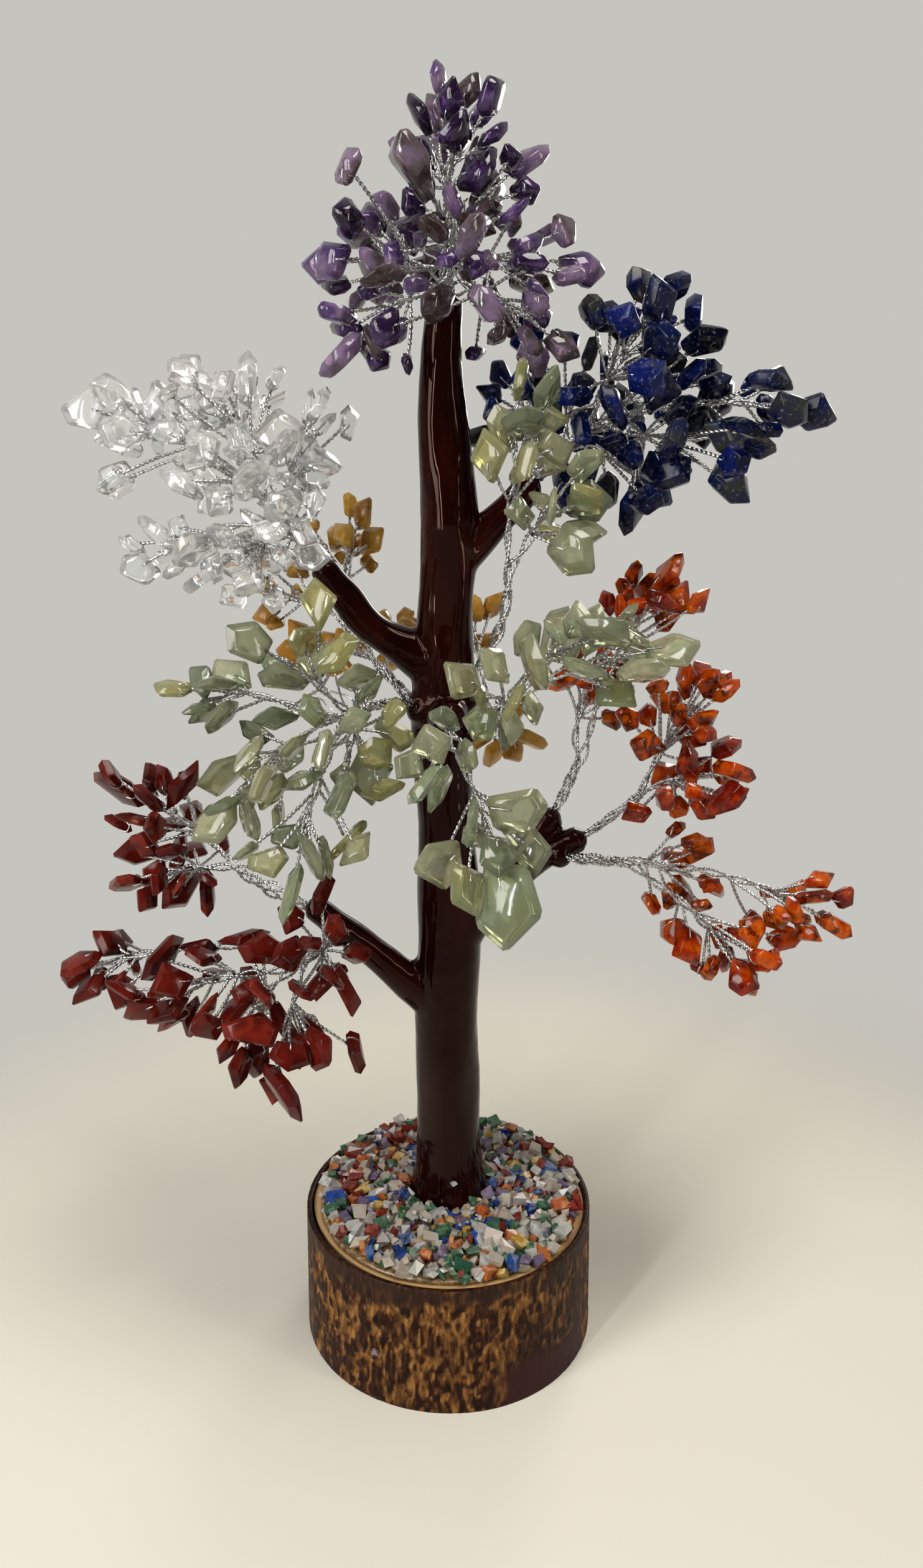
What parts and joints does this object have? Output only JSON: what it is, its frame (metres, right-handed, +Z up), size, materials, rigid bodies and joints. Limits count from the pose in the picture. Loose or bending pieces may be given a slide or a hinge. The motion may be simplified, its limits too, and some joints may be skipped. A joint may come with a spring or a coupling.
{
  "type": "gemstone tree ornament",
  "caption": "Wire tree ornament: drilled stone chips on twisted-wire sprays that bend where they leave a lacquered trunk, on a bark-edged log slice strewn with stone gravel.",
  "frame": {"origin": "middle of the log slice's underside", "axes": "+Z up along the trunk, -Y towards the viewer in the picture, +X to the viewer's right"},
  "size_m": [0.1989, 0.1025, 0.3068],
  "materials": {
    "end_grain": "satin lacquered end grain",
    "bark": "lacquered bark, dark red-brown with tan flakes",
    "glue": "dried clear glue over wood",
    "putty": "lacquered putty, dark chocolate brown",
    "rod": "bare steel rod, hidden",
    "wire": "bright soft wire",
    "amethyst": "polished translucent purple stone",
    "lapis": "polished deep blue stone",
    "quartz": "polished clear stone",
    "yellow_stone": "polished ochre stone",
    "green_stone": "polished pale green stone",
    "carnelian": "polished orange-red stone",
    "red_stone": "polished brick red stone",
    "gravel_clear": "small tumbled clear chips",
    "gravel_green": "small tumbled green chips",
    "gravel_red": "small tumbled red chips",
    "gravel_orange": "small tumbled orange chips",
    "gravel_yellow": "small tumbled yellow chips",
    "gravel_blue": "small tumbled blue chips",
    "gravel_lilac": "small tumbled lilac chips"
  },
  "bodies": {
    "stand": {"base_wood": "end_grain", "bark_ring": "bark", "glue_bed": "glue", "gravel_clear": "gravel_clear", "gravel_green": "gravel_green", "gravel_red": "gravel_red", "gravel_orange": "gravel_orange", "gravel_yellow": "gravel_yellow", "gravel_blue": "gravel_blue", "gravel_lilac": "gravel_lilac", "trunk_core": "rod", "trunk": "putty"},
    "amethyst_crown": {"amethyst_crown_wires": "wire", "amethyst_crown_chips": "amethyst"},
    "lapis": {"lapis_wires": "wire", "lapis_chips": "lapis"},
    "quartz": {"quartz_wires": "wire", "quartz_chips": "quartz"},
    "yellow_left": {"yellow_left_wires": "wire", "yellow_left_chips": "yellow_stone"},
    "yellow_right": {"yellow_right_wires": "wire", "yellow_right_chips": "yellow_stone"},
    "green_left": {"green_left_wires": "wire", "green_left_chips": "green_stone"},
    "green_right": {"green_right_wires": "wire", "green_right_chips": "green_stone"},
    "green_upper": {"green_upper_wires": "wire", "green_upper_chips": "green_stone"},
    "green_lower": {"green_lower_wires": "wire", "green_lower_chips": "green_stone"},
    "carnelian_inner": {"carnelian_inner_wires": "wire", "carnelian_inner_chips": "carnelian"},
    "carnelian_outer": {"carnelian_outer_wires": "wire", "carnelian_outer_chips": "carnelian"},
    "carnelian_lower": {"carnelian_lower_wires": "wire", "carnelian_lower_chips": "carnelian"},
    "red_upper": {"red_upper_wires": "wire", "red_upper_chips": "red_stone"},
    "red_lower": {"red_lower_wires": "wire", "red_lower_chips": "red_stone"}
  },
  "joints": [
    {"name": "amethyst_crown_bend", "type": "hinge", "parent": "stand", "child": "amethyst_crown", "pos_m": [-0.00009, 0, 0.261], "axis": [0, 1, 0], "range_deg": [-8, 2]},
    {"name": "lapis_bend", "type": "hinge", "parent": "stand", "child": "lapis", "pos_m": [0.01878, 0.00287, 0.22268], "axis": [-0.0419, -0.9991, 0], "range_deg": [-10, 2.5]},
    {"name": "quartz_bend", "type": "hinge", "parent": "stand", "child": "quartz", "pos_m": [-0.02797, 0, 0.20403], "axis": [-0.1624, 0.9867, 0], "range_deg": [-10, 7]},
    {"name": "yellow_left_bend", "type": "hinge", "parent": "stand", "child": "yellow_left", "pos_m": [-0.00644, 0.00314, 0.1711], "axis": [0.663, 0.7486, 0], "range_deg": [-10, 6]},
    {"name": "yellow_right_bend", "type": "hinge", "parent": "stand", "child": "yellow_right", "pos_m": [0.00218, 0.00539, 0.1651], "axis": [0.9485, -0.3167, 0], "range_deg": [-10, 8]},
    {"name": "green_left_bend", "type": "hinge", "parent": "stand", "child": "green_left", "pos_m": [-0.00664, -0.00264, 0.1731], "axis": [-0.6689, 0.7434, 0], "range_deg": [-10, 10]},
    {"name": "green_right_bend", "type": "hinge", "parent": "stand", "child": "green_right", "pos_m": [0.00446, -0.00312, 0.1661], "axis": [-0.8197, -0.5727, 0], "range_deg": [-9, 4]},
    {"name": "green_upper_bend", "type": "hinge", "parent": "stand", "child": "green_upper", "pos_m": [0.00321, -0.00446, 0.1791], "axis": [-0.7022, -0.712, 0], "range_deg": [-5, 8]},
    {"name": "green_lower_bend", "type": "hinge", "parent": "stand", "child": "green_lower", "pos_m": [0.00085, -0.01093, 0.17181], "axis": [-0.9906, -0.137, 0], "range_deg": [-10, 10]},
    {"name": "carnelian_inner_bend", "type": "hinge", "parent": "stand", "child": "carnelian_inner", "pos_m": [0.02537, 0.00185, 0.14311], "axis": [0.033, -0.9995, 0], "range_deg": [-4, 10]},
    {"name": "carnelian_outer_bend", "type": "hinge", "parent": "stand", "child": "carnelian_outer", "pos_m": [0.0315, -0.00242, 0.13904], "axis": [0.0206, -0.9998, 0], "range_deg": [-2.5, 4]},
    {"name": "carnelian_lower_bend", "type": "hinge", "parent": "stand", "child": "carnelian_lower", "pos_m": [0.02766, -0.00376, 0.13535], "axis": [0.0021, -1, 0], "range_deg": [-10, 1.2]},
    {"name": "red_upper_bend", "type": "hinge", "parent": "stand", "child": "red_upper", "pos_m": [-0.03223, -0.0058, 0.12224], "axis": [0.1692, 0.9856, 0], "range_deg": [-7, 10]},
    {"name": "red_lower_bend", "type": "hinge", "parent": "stand", "child": "red_lower", "pos_m": [-0.0273, -0.00654, 0.11554], "axis": [-0.5209, 0.8536, 0], "range_deg": [-10, 8]}
  ]
}
